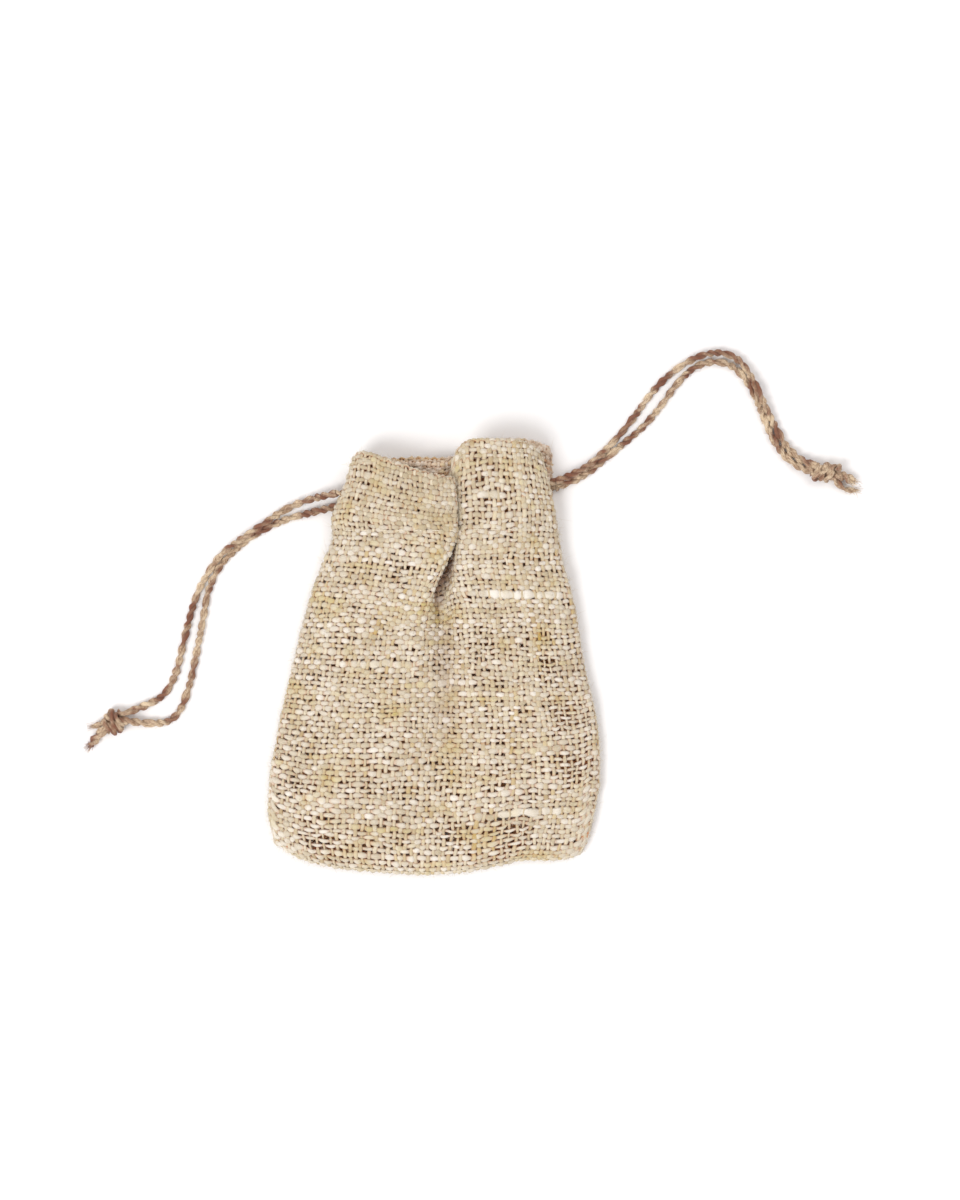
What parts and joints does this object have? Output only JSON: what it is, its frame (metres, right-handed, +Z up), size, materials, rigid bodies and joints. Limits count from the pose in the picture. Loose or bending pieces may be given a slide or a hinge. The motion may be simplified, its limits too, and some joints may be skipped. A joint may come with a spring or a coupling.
{
  "type": "drawstring pouch",
  "caption": "Small natural burlap drawstring pouch lying on its back, with a gathered mouth, a turned-down cord casing and two knotted jute drawstrings",
  "frame": {"origin": "on the table, under the middle of the bag's bounding box, cords left out", "axes": "+Y towards the mouth, +X to the bag's right as it lies, +Z up from the table"},
  "size_m": [0.258, 0.1757, 0.0175],
  "materials": {
    "burlap": "open plain-weave jute",
    "hem_burlap": "the same cloth turned inside",
    "thread": "sewing thread",
    "jute_cord": "two-ply twisted jute"
  },
  "bodies": {
    "pouch": {"front_panel": "burlap", "back_panel": "burlap", "front_casing": "hem_burlap", "back_casing": "hem_burlap", "front_casing_stitch": "thread", "back_casing_stitch": "thread", "left_seam_stitch": "thread", "right_seam_stitch": "thread", "bottom_seam_stitch": "thread", "left_seam_allowance": "hem_burlap", "right_seam_allowance": "hem_burlap", "bottom_seam_allowance": "hem_burlap"},
    "left_drawstring": {"left_upper_strand": "jute_cord", "left_lower_strand": "jute_cord", "left_cord_loop": "jute_cord", "left_knot": "jute_cord", "left_long_tail": "jute_cord", "left_short_tail": "jute_cord"},
    "right_drawstring": {"right_upper_strand": "jute_cord", "right_lower_strand": "jute_cord", "right_cord_loop": "jute_cord", "right_knot": "jute_cord", "right_long_tail": "jute_cord", "right_short_tail": "jute_cord"}
  },
  "joints": [
    {"name": "left_draw", "type": "slide", "parent": "pouch", "child": "left_drawstring", "axis": [-1, 0, 0], "range_m": [0, 0.02], "deforming": ["left_cord_loop"]},
    {"name": "right_draw", "type": "slide", "parent": "pouch", "child": "right_drawstring", "axis": [0.9781, 0.208, 0], "range_m": [0, 0.02], "deforming": ["right_cord_loop"]}
  ]
}
